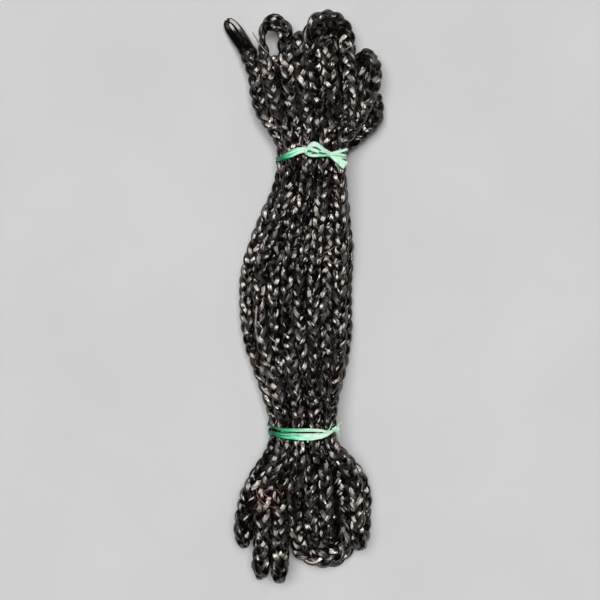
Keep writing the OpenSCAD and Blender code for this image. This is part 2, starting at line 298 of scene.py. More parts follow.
def loft(rings, loop, u_size, v):
    """Vertices, faces and corner UVs of a skin through rings of points, with a v for each ring."""
    n, m = rings.shape[:2]
    rows = np.arange(n if loop else n - 1)
    a = (rows[:, None] * m + np.arange(m)).ravel()
    b = (rows[:, None] * m + (np.arange(m) + 1) % m).ravel()
    up = np.repeat((rows + 1) % n, m) * m
    faces = np.stack([a, b, up + b % m, up + a % m], axis=-1)
    around = np.arange(m + 1) / m * u_size
    along = np.append(v, 2 * v[-1] - v[-2])
    col = np.tile(np.arange(m), len(rows))
    row = np.repeat(rows, m)
    corners = [(col, row), (col + 1, row), (col + 1, row + 1), (col, row + 1)]
    uv = np.stack([np.stack([around[i], along[j]], -1) for i, j in corners], axis=1)
    return rings.reshape(-1, 3), faces, uv.reshape(-1, 2)


def part(rings, u_size, v, loop=False):
    """A loft with its two end faces, for add_mesh. A loop has none."""
    n, m = rings.shape[:2]
    ends = [] if loop else [list(range(m))[::-1], list(range((n - 1) * m, n * m))]
    return (*loft(rings, loop, u_size, v), ends)


def sharpen_lengthwise(mesh, count):
    """Makes the edges that run from ring to ring sharp, for rings of count points."""
    ends = np.zeros(len(mesh.edges) * 2, int)
    mesh.edges.foreach_get("vertices", ends)
    lengthwise = np.abs(ends[0::2] - ends[1::2]) == count
    mesh.attributes.new("sharp_edge", "BOOLEAN", "EDGE").data.foreach_set("value", lengthwise)


def add_mesh(name, parts, material):
    """One smooth object from several parts."""
    verts, faces, uvs, base = [], [], [], 0
    for points, quads, uv, ends in parts:
        verts.append(points)
        faces += (quads + base).tolist()
        uvs.append(uv)
        for ring in ends:
            faces.append([base + k for k in ring])
            uvs.append(np.zeros((len(ring), 2)) + uv[0])
        base += len(points)
    mesh = bpy.data.meshes.new(name)
    mesh.from_pydata(np.concatenate(verts).tolist(), [], faces)
    layer = mesh.uv_layers.new(name="UVMap")
    layer.data.foreach_set("uv", np.concatenate(uvs).astype(np.float32).ravel())
    mesh.polygons.foreach_set("use_smooth", np.ones(len(mesh.polygons), bool))
    mesh.materials.append(material)
    mesh.update()
    thing = bpy.data.objects.new(name, mesh)
    bpy.context.scene.collection.objects.link(thing)
    return thing


def wander(s, waves, more=0):
    """A smooth irregular value along s. Waves are a seed, their lengths and their sizes."""
    seed, lengths, sizes = waves
    rng = np.random.default_rng(seed + more)
    return sum(size * np.sin(2 * np.pi * (s / length + rng.random()))
               for length, size in zip(lengths, sizes))


def gain(value, rise):
    """Eases from 0 to a size. A rise is its start, its length and the size."""
    start, length, size = rise
    return size * ease((value - start) / length)


def unit(v):
    return v / np.linalg.norm(v, axis=-1, keepdims=True)


# ---- the plait ----
STRANDS = 3
PLAIT_LENGTH = 25 * MM       # one strand's way from edge to edge and back
PLAIT_HALF_W = 2.8 * MM      # how far a strand's centre swings sideways
PLAIT_HALF_H = 0.7 * MM      # how far it rises and dips
ARM_FLATNESS = 1.2           # how level a strand lies where it crosses on top
STRAND_HALF_W = 2.45 * MM
STRAND_HALF_H = 2.3 * MM
SECTION = np.radians([22, 60, 120, 158, 202, 240, 300, 338])   # a strand's folded edges
SECTION_REACH = (0.93, 0.87)     # how far they reach sideways and up on a circle of radius 1
V_STRETCH = 1.15             # the film's pattern: pace along a strand, step from strand to strand
V_APART = 0.37
RELEVEL = 16 * MM            # a run turns its flat side up within about this length
STEEP = 0.5                  # but not where it rises more than this
ROLL_START = 60 * MM         # the loose end lies flat, and rolls more and more over this length
HALF_TWISTS = [(starts[4] + starts[5]) / 2, starts[7] - 6 * MM]   # hidden in run 2; at the eye
TWIST_LENGTH = 45 * MM
TIE_SQUEEZE = 0.15           # how much narrower and thinner the plait is in a tie
TIE_FLATTEN = 0.08
TIE_SQUEEZE_HALF = 9 * MM
TIP_THICK = 0.75             # where a fold turns down, its plait is this much thicker
TIP_NARROW = 0.34            # and this much narrower
TIP_CROWN = 2.0 * MM         # and its outer strands lie this much further in, for a round tip
END_TAPER = 4 * MM           # the strands taper over this length, at the loose end to a blunt tip
END_BLUNT = 2.5 * MM
END_LEAST = 0.03

# The loose end, where the strands lie side by side: middle, left and right
TAIL_BUNCH = 32 * MM
TAIL_BLEND = 9 * MM
TAIL_TURN = 0.25             # the plait's turn where it goes over into the bunch
TAIL_RIM = 3.5 * MM          # from the middle strand to the others, which round the end
TAIL_ROUND = 8 * MM
TAIL_SIDES = (0, 1, -1)
TAIL_HEIGHTS = (-1.3 * MM, 0.2 * MM, 0.2 * MM)
TAIL_LEANS = (2, 20, -3)
TAIL_NARROW = 0.28
TAIL_THIN = 0.25

# Where the plait is wider: the rise's start and length on the way out, and its size
FANS_WIDER = (5 * MM, 35 * MM, 0.12)         # from the ties
FANS_MIDDLE = 2 * MM
TIPS_WIDER = (150 * MM, 25 * MM, 0.06)       # the long tips at the lower end
TIPS_X = (-34 * MM, -4 * MM)
TOP_WIDER = (135 * MM, 20 * MM, 0.09)
BOWL_WIDER = (160 * MM, 15 * MM, 0.18)       # the flat loops at the lower end
BOWL_X = -2 * MM
EYE_UP = (150 * MM, 20 * MM, 1)              # the open eye at the upper left, where it is finer
EYE_LEFT = (19 * MM, 8 * MM, 1)
EYE_AFTER = 200 * MM                         # past the loose end
EYE_NARROW = 0.35
EYE_THIN = 0.3

# Slow irregular waves: (seed, lengths in metres, sizes)
ROLL_WAVES = (3, [0.31, 0.17, 0.083, 0.047], [8, 8, 5, 3])
WIDTH_WAVES = (5, [0.11, 0.043, 0.019], [0.03, 0.03, 0.02])
HEIGHT_WAVES = (6, [0.09, 0.035], [0.03, 0.03])
PACE_WAVES = (7, [0.13, 0.057], [0.08, 0.06])
SWELL_WAVES = (40, [0.061, 0.033], [0.06, 0.05])
TWIST_WAVES = (60, [0.047, 0.029, 0.016], [7, 5, 3])
EDGE_WAVES = (0, [0.023, 0.0145, 0.0095], [0.035, 0.035, 0.03])
EDGE_SEEDS = 100             # from one strand's edges to the next one's


def flat_sides(tangents):
    """Directions square to the plait's flat side: level on the runs, carried round the folds."""
    normal = Vector((0, 0, 1))
    found = []
    hold = 1 - math.exp(-STEP / RELEVEL)
    for t in tangents:
        t = Vector(t)
        normal = (normal - t * normal.dot(t)).normalized()
        if abs(t.z) < STEEP:
            level = (Vector((0, 0, 1)) - t * t.z).normalized()
            level = level if level.dot(normal) >= 0 else -level
            normal = normal.lerp(level, hold).normalized()
        found.append(tuple(normal))
    return np.array(found)


def plait_frame():
    """The rope's direction, and the directions across the plait and out of its flat side."""
    tangents = unit(np.gradient(route, axis=0))
    normals = flat_sides(tangents)
    roll = np.radians(wander(route_s, ROLL_WAVES))[:, None]
    roll *= ease(route_s / ROLL_START)[:, None]
    for middle in HALF_TWISTS:
        roll += np.pi * ease((route_s - middle) / TWIST_LENGTH + 0.5)[:, None]
    sides = np.cross(tangents, normals)
    across = np.cos(roll) * sides + np.sin(roll) * normals
    out = np.cos(roll) * normals - np.sin(roll) * sides
    return tangents, across, out


def plait_size(y, slope):
    """The plait's width and height along the rope, as shares of the usual ones."""
    x = route[:, 0]
    ties = (UPPER_TIE_Y, -LOWER_TIE_Y)
    squeeze = sum(np.exp(-((y - tie) / TIE_SQUEEZE_HALF) ** 2) for tie in ties)
    eye = gain(y, EYE_UP) * gain(-x, EYE_LEFT) * (route_s > EYE_AFTER)
    width = 1 + wander(route_s, WIDTH_WAVES)
    width = width + gain(np.abs(y - FANS_MIDDLE) - UPPER_TIE_Y, FANS_WIDER)
    width += gain(-y, TIPS_WIDER) * (x > TIPS_X[0]) * (x < TIPS_X[1])
    width += gain(y, TOP_WIDER)
    width += gain(-y, BOWL_WIDER) * (x > BOWL_X)
    width *= (1 - TIE_SQUEEZE * squeeze) * (1 - TIP_NARROW * slope ** 4) * (1 - EYE_NARROW * eye)
    height = 1 + wander(route_s, HEIGHT_WAVES) - TIE_FLATTEN * squeeze
    height *= (1 + TIP_THICK * slope ** 2) * (1 - EYE_THIN * eye)
    return width, height


def plait_turns():
    """How many times the plait has turned over, along the rope."""
    pace = 1 + wander(route_s, PACE_WAVES)
    turns = np.concatenate([[0], np.cumsum(pace[1:] * STEP / PLAIT_LENGTH)])
    return turns + (TAIL_TURN - np.interp(TAIL_BUNCH, route_s, turns))


def strand_offsets(k, theta, width, height, bunch):
    """How far strand k's centre lies across and out from the rope's own."""
    arch = 1 - np.clip(route_s / TAIL_ROUND, 0, 1)
    rim = TAIL_RIM * np.sqrt(np.maximum(1 - arch ** 2, 0))
    cx = PLAIT_HALF_W * width * np.sin(theta) * (1 - bunch) + rim * TAIL_SIDES[k] * bunch
    rise = -np.tanh(ARM_FLATNESS * np.sin(2 * theta)) / math.tanh(ARM_FLATNESS)
    cz = PLAIT_HALF_H * height * rise * (1 - bunch) + TAIL_HEIGHTS[k] * bunch
    return cx, cz


def strand_section(k, half_w, half_h, twist, side, upward):
    """The folded edges of strand k along the rope, from its centre."""
    found = []
    for j, angle in enumerate(SECTION):
        size = 1 + wander(route_s, EDGE_WAVES, EDGE_SEEDS * k + j)
        px = (half_w * size * np.cos(angle) / SECTION_REACH[0])[:, None]
        pz = (half_h * size * np.sin(angle) / SECTION_REACH[1])[:, None]
        found.append((px * np.cos(twist) - pz * np.sin(twist)) * side
                     + (px * np.sin(twist) + pz * np.cos(twist)) * upward)
    return np.stack(found, axis=1)


def plait_parts():
    tangents, across, out = plait_frame()
    slope = tangents[:, 2]
    y = route[:, 1] - SHIFT[1]
    width, height = plait_size(y, slope)
    crown = TIP_CROWN * slope ** 2 * np.sign(out[:, 1] * y)
    turns = plait_turns()
    bunch = ease((TAIL_BUNCH - route_s) / TAIL_BLEND)
    to_end = np.minimum(route_s + END_BLUNT, rope_length - route_s)
    to_end = np.clip(to_end / END_TAPER, END_LEAST, 1)
    round_end = np.sqrt(to_end * (2 - to_end))

    parts = []
    for k in range(STRANDS):
        cx, cz = strand_offsets(k, 2 * np.pi * (turns + k / STRANDS), width, height, bunch)
        cz -= crown * (cx / PLAIT_HALF_W) ** 2
        centre = route + cx[:, None] * across + cz[:, None] * out
        ahead = unit(np.gradient(centre, axis=0))
        side = unit(np.cross(ahead, out))
        upward = np.cross(side, ahead)
        side = side * np.sign(np.sum(side * across, axis=-1, keepdims=True))
        swell = 1 + wander(route_s, SWELL_WAVES, k)
        half_w = STRAND_HALF_W * width * swell * round_end * (1 - TAIL_NARROW * bunch)
        half_h = STRAND_HALF_H * height * swell * round_end * (1 - TAIL_THIN * bunch)
        twist = wander(route_s, TWIST_WAVES, k) * (1 - bunch)
        twist = np.radians(twist + TAIL_LEANS[k] * bunch)[:, None]
        rings = centre[:, None] + strand_section(k, half_w, half_h, twist, side, upward)
        rings[..., 2] = np.maximum(rings[..., 2], 0.0)
        parts.append(part(rings, SECTION_U, route_s * V_STRETCH + V_APART * k))
    return parts


# ---- materials ----
def new_material(name):
    material = bpy.data.materials.new(name)
    material.use_nodes = True
    nodes, links = material.node_tree.nodes, material.node_tree.links
    return material, nodes, links, nodes["Principled BSDF"]


def put(node, **values):
    """Sets a node's unlinked inputs and its settings."""
    for key, value in values.items():
        if key in node.inputs:
            node.inputs[key].default_value = value
        else:
            setattr(node, key, value)
    return node


def add(nodes, kind, **values):
    return put(nodes.new(kind), **values)


def feed(links, node, values):
    """Sets or links a node's first inputs."""
    for socket, value in zip(node.inputs, values):
        if isinstance(value, (int, float, tuple)):
            socket.default_value = value
        else:
            links.new(value, socket)
    return node.outputs


def math_node(nodes, links, operation, *values, clamp=False):
    node = add(nodes, "ShaderNodeMath", operation=operation, use_clamp=clamp)
    return feed(links, node, values)[0]


def vector_math(nodes, links, operation, *values):
    node = add(nodes, "ShaderNodeVectorMath", operation=operation)
    return feed(links, node, values)["Vector"]


def map_range(nodes, links, value, start, end, first, last):
    """Goes from first to last as the value goes from start to end."""
    node = add(nodes, "ShaderNodeMapRange", **{"From Min": start, "From Max": end,
                                               "To Min": first, "To Max": last})
    links.new(value, node.inputs["Value"])
    return node.outputs["Result"]


def coordinates(nodes, kind):
    return nodes.new("ShaderNodeTexCoord").outputs[kind]


def one_axis(nodes, links, place, axis):
    split = nodes.new("ShaderNodeSeparateXYZ")
    links.new(place, split.inputs["Vector"])
    return split.outputs[axis]


def stretched_uv(nodes, links, across, along):
    """UV coordinates counted in cells of these sizes, in metres."""
    scale = add(nodes, "ShaderNodeMapping", Scale=(1 / across, 1 / along, 1))
    links.new(coordinates(nodes, "UV"), scale.inputs["Vector"])
    return scale.outputs["Vector"]


def noise(nodes, links, place, scale, detail, roughness=0.5):
    node = add(nodes, "ShaderNodeTexNoise", Scale=scale, Detail=detail, Roughness=roughness)
    links.new(place, node.inputs["Vector"])
    return node.outputs["Fac"]


def ramp(nodes, links, value, stops):
    node = nodes.new("ShaderNodeValToRGB")
    while len(node.color_ramp.elements) < len(stops):
        node.color_ramp.elements.new(0.5)
    for element, (place, colour) in zip(node.color_ramp.elements, stops):
        element.position = place
        element.color = (*colour, 1)
    links.new(value, node.inputs["Fac"])
    return node.outputs["Color"]


FACET_WIDTH = 1.25 * MM
FACET_LENGTH = 5.5 * MM
FACET_LEAN = (0.31, 0.18, 0.0)     # the steepest slopes of a facet, across and along
NO_LEAN = (0.5, 0.5, 1.0)          # as a normal map's colour
FILM_START = 0.7 * TAIL_BUNCH      # the smooth film at the loose end goes over into facets here
FILM_END = 0.9 * TAIL_BUNCH
FILM_SHARE = 0.12                  # what is left of the facets and fibres on it
BAND_COLOURS = [(0.0, (0.0005, 0.0004, 0.0004)), (0.6, (0.0012, 0.0009, 0.0008)),
                (0.9, (0.003, 0.0021, 0.0018)), (1.0, (0.016, 0.011, 0.009))]
BAND_IOR = 1.8
BAND_TINT = (1.0, 0.90, 0.81, 1)
BAND_ROUGH = 0.06                  # smooth film, and what fibres, borders and dull facets add
FIBRE_ROUGH = 0.20
BORDER_ROUGH = 0.06
BORDER_FALL = (-7.0, 0.9)          # slope and height of the border's value over the distance
DULL_FROM = 0.55                   # facets with a value above this are duller
DULL_ROUGH = 0.32
FIBRE_WIDTH = 0.6 * MM
FIBRE_LENGTH = 12 * MM
FIBRE_RELIEF = 0.20 * MM
FIBRE_STRENGTH = 0.7


def away_from_end(nodes, links):
    """Low on the rope's loose end, where the film is smooth, and 1 past it."""
    apart = add(nodes, "ShaderNodeVectorMath", operation="DISTANCE")
    feed(links, apart, (coordinates(nodes, "Object"), tuple(route[0])))
    return map_range(nodes, links, apart.outputs["Value"], FILM_START, FILM_END, FILM_SHARE, 1.0)


def facets(nodes, links, share):
    """Flat bands, each leaning its own way: their normal, a value for each, and their edges."""
    place = stretched_uv(nodes, links, FACET_WIDTH, FACET_LENGTH)
    cells = add(nodes, "ShaderNodeTexVoronoi", voronoi_dimensions="2D", Scale=1.0)
    edges = add(nodes, "ShaderNodeTexVoronoi", voronoi_dimensions="2D", feature="DISTANCE_TO_EDGE",
                Scale=1.0)
    for node in (cells, edges):
        links.new(place, node.inputs["Vector"])
    lean = vector_math(nodes, links, "SUBTRACT", cells.outputs["Color"], (0.5, 0.5, 0.5))
    lean = vector_math(nodes, links, "MULTIPLY", lean, FACET_LEAN)
    lean = vector_math(nodes, links, "MULTIPLY", lean, share)
    lean = vector_math(nodes, links, "ADD", lean, NO_LEAN)
    normal = add(nodes, "ShaderNodeNormalMap", uv_map="UVMap")
    links.new(lean, normal.inputs["Color"])
    split = nodes.new("ShaderNodeSeparateColor")
    links.new(cells.outputs["Color"], split.inputs[0])
    return normal.outputs["Normal"], split.outputs["Blue"], edges.outputs["Distance"]


def rope_material():
    """Flat near-black film with fine fibres: glossy and dull facets."""
    material, nodes, links, shader = new_material("plaited_band")
    away = away_from_end(nodes, links)
    facet, pick, edge = facets(nodes, links, away)
    fibre = noise(nodes, links, stretched_uv(nodes, links, FIBRE_WIDTH, FIBRE_LENGTH), 1.0, 2.0)
    links.new(ramp(nodes, links, pick, BAND_COLOURS), shader.inputs["Base Color"])

    rough = math_node(nodes, links, "MULTIPLY_ADD", fibre, FIBRE_ROUGH, BAND_ROUGH)
    border = math_node(nodes, links, "MULTIPLY_ADD", edge, *BORDER_FALL, clamp=True)
    rough = math_node(nodes, links, "MULTIPLY_ADD", border, BORDER_ROUGH, rough)
    dull = map_range(nodes, links, pick, DULL_FROM, 1.0, 0.0, DULL_ROUGH)
    rough = math_node(nodes, links, "MULTIPLY_ADD", dull, away, rough)
    links.new(rough, shader.inputs["Roughness"])
    put(shader, **{"IOR": BAND_IOR, "Specular Tint": BAND_TINT, "Coat Weight": 0.08,
                   "Coat Roughness": 0.12})

    lines = add(nodes, "ShaderNodeBump", Distance=FIBRE_RELIEF)
    links.new(math_node(nodes, links, "MULTIPLY", away, FIBRE_STRENGTH), lines.inputs["Strength"])
    links.new(fibre, lines.inputs["Height"])
    links.new(facet, lines.inputs["Normal"])
    links.new(lines.outputs["Normal"], shader.inputs["Normal"])
    return material


PLEAT_WIDTH = 0.8 * MM
PLEAT_LENGTH = 9 * MM
PLEAT_RELIEF = 0.5 * MM
PLEAT_STRENGTH = 0.9
DEEP_TONE = -0.31                  # what the place across the hank adds to a ribbon's tone: deep green at one place, a painted highlight at the other
HIGHLIGHT_TONE = 0.19
EDGE_SHADE_TONE = -0.28                  # and what its edges add, as painted shade where the folded bands meet
EDGE_SHADE_WIDTH = 0.9 * MM
# Greens by tone: the near-black lowest stop is painted shade in creases and pleat hollows, the
# near-white top stop a painted highlight
GREENS = [(0.15, (0.002, 0.06, 0.03)), (0.34, (0.012, 0.36, 0.15)), (0.45, (0.09, 0.72, 0.35)),
          (0.56, (0.40, 0.94, 0.62)), (0.74, (0.84, 1.00, 0.87))]


def ribbon_material(name, deep_x, highlight_x):
    """Deep green film, paled towards near white by a painted highlight between two places across
    the hank, with painted shade at its band edges and in its pleats' hollows.
    """
    material, nodes, links, shader = new_material(name)
    place = stretched_uv(nodes, links, PLEAT_WIDTH, PLEAT_LENGTH)
    # the pleats' noise raises the bump and also sets the tone: painted shade in their hollows,
    # painted highlight on their crests
    pleat_and_shade = noise(nodes, links, place, 1.0, 2.0, 0.55)
    x = one_axis(nodes, links, coordinates(nodes, "Object"), "X")
    # painted highlight: the tone rises from deep green at deep_x to pale at highlight_x
    across = map_range(nodes, links, x, deep_x, highlight_x, DEEP_TONE, HIGHLIGHT_TONE)
    tone = math_node(nodes, links, "ADD", pleat_and_shade, across)
    # painted shade along the band's edges
    u = one_axis(nodes, links, coordinates(nodes, "UV"), "X")
    from_edge = math_node(nodes, links, "PINGPONG", u, SECTION_U / 4)
    edge = map_range(nodes, links, from_edge, 0.0, EDGE_SHADE_WIDTH, EDGE_SHADE_TONE, 0.0)
    tone = math_node(nodes, links, "ADD", tone, edge)
    links.new(ramp(nodes, links, tone, GREENS), shader.inputs["Base Color"])
    put(shader, Roughness=0.42, IOR=1.4)

    bump = add(nodes, "ShaderNodeBump", Strength=PLEAT_STRENGTH, Distance=PLEAT_RELIEF)
    links.new(pleat_and_shade, bump.inputs["Height"])
    links.new(bump.outputs["Normal"], shader.inputs["Normal"])
    return material


def fibre_material(name, dark, light):
    """A loose fibre's colours, which change every few millimetres."""
    material, nodes, links, shader = new_material(name)
    speck = noise(nodes, links, coordinates(nodes, "Object"), 420.0, 2.0)
    stops = [(0.35, dark), (0.65, light)]
    links.new(ramp(nodes, links, speck, stops), shader.inputs["Base Color"])
    put(shader, Roughness=0.35)
    return material


def floor_material():
    """A plain pale floor, very slightly uneven in tone."""
    material, nodes, links, shader = new_material("floor")
    cloud = noise(nodes, links, coordinates(nodes, "Object"), 9.0, 4.0)
    tones = [(0.3, (0.66, 0.66, 0.66)), (0.7, (0.70, 0.70, 0.70))]
    links.new(ramp(nodes, links, cloud, tones), shader.inputs["Base Color"])
    put(shader, **{"Roughness": 0.9, "Specular IOR Level": 0.2})
    return material


# ---- the rope ----
rope = add_mesh("rope", plait_parts(), rope_material())
sharpen_lengthwise(rope.data, len(SECTION))
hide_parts("rope_hank")
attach(rope, "root")


# ---- the ribbons ----
def hull(points):
    """Convex outline of points in a plane, counter-clockwise."""
    points = sorted(map(tuple, points))
    halves = []
    for line in (points, points[::-1]):
        chain = []
        for p in line:
            while len(chain) > 1 and ((chain[-1][0] - chain[-2][0]) * (p[1] - chain[-2][1])
                                      <= (chain[-1][1] - chain[-2][1]) * (p[0] - chain[-2][0])):
                chain.pop()
            chain.append(p)
        halves += chain[:-1]
    return np.array(halves)


OUTLINE_POINTS = 160
CIRCLE_POINTS = 48


def waist(tie_y, margin):
    """Outline of the bundle in a tie, clear of the strands by margin, at equal steps."""
    angles = 2 * np.pi * np.arange(CIRCLE_POINTS) / CIRCLE_POINTS
    circle = (ROPE_D / 2 + margin) * np.stack([np.cos(angles), np.sin(angles)], axis=-1)
    centres = [grid(strand, np.array(tie_y)) + SHIFT[[0, 2]] for strand in RUNS]
    ring = hull(np.concatenate([centre + circle for centre in centres]))
    ring = np.concatenate([ring, ring[:1]])
    s = distances(ring)
    steps = np.arange(OUTLINE_POINTS) / OUTLINE_POINTS * s[-1]
    return np.stack([np.interp(steps, s, ring[:, k]) for k in range(2)], axis=-1)


FILM = 0.3 * MM              # a ribbon's thickness
BAND_COLUMNS = 13
BAND_EDGE = 0.35             # a band's edge is this share as thick as its middle
SMALL_PLEATS = (0.45, 2.3)   # height and number of the smaller pleats, against the large ones


def band_section(width, thickness, ripple, pleats, phase):
    """Across and outward places round a flat band's section, with lengthwise pleats."""
    v = np.linspace(-1, 1, BAND_COLUMNS)
    small = SMALL_PLEATS[0] * np.sin(np.pi * SMALL_PLEATS[1] * pleats * v - phase)
    lean = ripple * (np.sin(np.pi * pleats * v + phase) + small)
    half = np.full(BAND_COLUMNS, thickness / 2)
    half[[0, -1]] *= BAND_EDGE
    x = np.concatenate([v, v[::-1]]) * width / 2
    z = np.concatenate([lean - half, (lean + half)[::-1]])
    return x, z


FRONT_BLEND = 5 * MM         # from a wrap's back to its front, in height
PHASE_SWING = 1.6            # how far the pleats wander sideways round the bundle
PLEAT_LIFT = 1.2             # keeps them off the strands


def wrap_rings(tie_y, stations, margin, ripple, pleats, seed):
    """Rings of a band once round the bundle. Stations are (x, y, width) of its front, in mm."""
    outline = waist(tie_y, margin)
    xs, ys, widths = (np.array(column) * MM for column in zip(*stations))
    centre_z = outline[:, 1].mean()
    step = np.roll(outline, -1, axis=0) - np.roll(outline, 1, axis=0)
    outward = unit(np.stack([step[:, 1], -step[:, 0]], axis=-1))
    back_y = np.interp(outline[:, 0], [xs[0], xs[-1]], [ys[0], ys[-1]])
    front_y = np.interp(outline[:, 0], xs, ys)
    front_w = np.interp(outline[:, 0], xs, widths)
    front = ease((outline[:, 1] - centre_z) / FRONT_BLEND + 0.5)
    y = back_y + (front_y - back_y) * front
    w = widths.mean() + (front_w - widths.mean()) * front
    s = np.arange(len(outline)) / len(outline)
    rings = []
    for i, place in enumerate(outline):
        phase = PHASE_SWING * math.sin(2 * np.pi * (2 * s[i] + 0.1 * seed)) + seed
        across, out = band_section(w[i], FILM, ripple, pleats, phase)
        out = out + ripple * PLEAT_LIFT
        rings.append(np.stack([place[0] + out * outward[i, 0], y[i] + across + SHIFT[1],
                               place[1] + out * outward[i, 1]], axis=-1))
    rings = np.array(rings)
    rings[..., 2] = np.maximum(rings[..., 2], 0.0)
    return rings


def spline(controls, count):
    """Catmull-Rom values through rows of control values."""
    rows = np.array(controls, float)
    padded = np.concatenate([[2 * rows[0] - rows[1]], rows, [2 * rows[-1] - rows[-2]]])
    t = np.linspace(0, len(rows) - 1 - 1e-9, count)
    i, u = t.astype(int), (t % 1)[:, None]
    p0, p1, p2, p3 = (padded[i + k] for k in range(4))
    return 0.5 * (2 * p1 + (p2 - p0) * u + (2 * p0 - 5 * p1 + 4 * p2 - p3) * u ** 2
                  + (3 * p1 - p0 - 3 * p2 + p3) * u ** 3)


STRIP_RINGS = 40
LEAST_WIDTH = 0.3            # of a loose strip, in mm
PHASE_STEP = 0.05            # how fast its pleats wander along it


def strip_rings(controls, thickness, ripple, pleats, seed):
    """Rings of a loose flat strip. Controls are (x, y, z, width) in mm, and a lean in degrees."""
    rows = spline(controls, STRIP_RINGS)
    points = rows[:, :3] * MM + [0, SHIFT[1], 0]
    tangents = unit(np.gradient(points, axis=0))
    level = unit(np.cross(tangents, [0, 0, 1]))
    up = np.cross(level, tangents)
    lean = np.radians(rows[:, 4])[:, None]
    side = np.cos(lean) * level + np.sin(lean) * up
    out = np.cos(lean) * up - np.sin(lean) * level
    rings = []
    for i, width in enumerate(np.maximum(rows[:, 3], LEAST_WIDTH) * MM):
        x, z = band_section(width, thickness, ripple, pleats, seed + PHASE_STEP * i)
        rings.append(points[i] + x[:, None] * side[i] + z[:, None] * out[i])
    return np.array(rings)


def strips(rows, thickness, ripple, pleats, seed_step):
    """Rings of several loose strips, each with pleats of its own."""
    return [strip_rings(controls, thickness, ripple, pleats, seed_step * n)
            for n, controls in enumerate(rows)]


def raised(rows, base):
    """The strips with their heights counted from the floor instead of from base."""
    return [[(x, y, base + z, width, lean) for x, y, z, width, lean in row] for row in rows]


def add_ribbon(name, ring_sets, node, film, loop=False):
    """One piece of ribbon, in place of a node of the CAD model."""
    parts = [part(rings, SECTION_U, np.arange(len(rings)) * RING_V, loop) for rings in ring_sets]
    piece = add_mesh(name, parts, film)
    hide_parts(node)
    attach(piece, "root")


WRAP_TOP = SEAT_GAP + 0.9 * MM     # how far a wrap and its pleats stand off the strands


def top_z(tie_y, x):
    """Height of the wrapped bundle's top at x, in mm; past its side, the side's own height."""
    outline = waist(tie_y, WRAP_TOP) / MM
    upper = outline[outline[:, 1] > outline[:, 1].mean()]
    order = np.argsort(upper[:, 0])
    return float(np.interp(x, upper[order, 0], upper[order, 1]))


upper_film = ribbon_material("upper_ribbon_film", -17 * MM, -2 * MM)
lower_film = ribbon_material("lower_ribbon_film", -20 * MM, 4 * MM)
crease_shade_film = ribbon_material("crease_shade_ribbon_film", 0.5, 1.0)      # painted shade for the knot's creases: deep all over

UPPER_STATIONS = [(-15.3, 95.6, 3.2), (-11.1, 96.8, 4.2), (-6.9, 98.5, 5.4), (-2.8, 100.2, 4.8),
                  (1.4, 100.9, 3.8), (6.9, 100.3, 3.6), (13.9, 98.5, 3.4), (19.4, 97.4, 3.0),
                  (23.6, 97.0, 3.2), (29.1, 96.5, 3.6)]
upper_wrap = wrap_rings(UPPER_TIE_Y, UPPER_STATIONS, SEAT_GAP, ripple=0.22 * MM, pleats=2.4, seed=1)
add_ribbon("upper_wrap", [upper_wrap], "upper_tie_wrap", upper_film, loop=True)

# The upper knot, in mm, with heights above the wrap at KNOT_X
KNOT_X = 10.0
KNOT = [
    # the band that crosses low, from the left edge to the pinch
    [(2.6, 100.0, 0.3, 3.2, 0), (4.6, 98.2, 1.6, 3.6, 20), (8.5, 97.4, 2.0, 3.4, 25),
     (13.0, 97.5, 1.7, 3.2, 15), (17.4, 97.6, 0.9, 2.6, 5), (20.6, 97.4, 0.5, 2.6, 0)],
    # the fold that rises to the peak and runs down to the pinch
    [(3.4, 99.4, 0.7, 2.6, -20), (5.2, 102.4, 2.0, 3.6, -25), (8.2, 103.9, 3.0, 4.6, -10),
     (11.8, 102.0, 2.8, 4.8, 15), (15.6, 99.6, 1.9, 4.0, 20), (19.8, 97.8, 0.8, 2.8, 5)],
    # the fold that lies over the middle
    [(4.2, 99.9, 2.2, 2.6, 10), (7.6, 100.8, 3.2, 3.0, 15), (11.4, 99.8, 3.3, 3.0, 0),
     (14.8, 98.9, 2.6, 2.8, -10), (18.2, 97.9, 1.4, 2.4, 0)],
    # the turn that closes the left end
    [(4.8, 101.6, 0.6, 2.2, 60), (3.4, 100.4, 2.4, 2.4, 20), (4.4, 97.9, 2.6, 2.4, -10),
     (7.4, 96.4, 1.0, 2.2, -50)],
]
# Dark strips of painted shade along the knot's creases, in mm, with heights above the wrap at
# KNOT_X
CREASE_SHADE_STRIPS = [
    [(3.4, 98.9, 3.4, 0.6, 0), (4.9, 99.9, 3.8, 1.2, 0), (6.6, 99.2, 3.9, 0.7, 0)],
    [(6.7, 97.9, 3.4, 0.5, 0), (8.3, 98.6, 3.8, 1.0, 0), (10.4, 98.2, 3.6, 0.6, 0)],
    [(7.3, 102.4, 3.9, 0.6, 0), (9.6, 101.9, 4.1, 1.1, 0), (12.9, 100.1, 3.8, 0.6, 0)],
    [(11.6, 98.7, 3.6, 0.6, 0), (13.8, 98.2, 3.2, 1.0, 0), (17.0, 97.8, 2.0, 0.5, 0)],
]
knot_z = top_z(UPPER_TIE_Y, KNOT_X)
knot = strips(raised(KNOT, knot_z), FILM, ripple=0.2 * MM, pleats=1.6, seed_step=0.7)
add_ribbon("upper_knot", knot, "upper_tie_knot", upper_film)
# the painted shade of the knot's creases, as thin dark sheets
crease_shades = strips(raised(CREASE_SHADE_STRIPS, knot_z), FILM, ripple=0, pleats=1, seed_step=1)
add_ribbon("upper_knot_crease_shades", crease_shades, "upper_tie_knot", crease_shade_film)

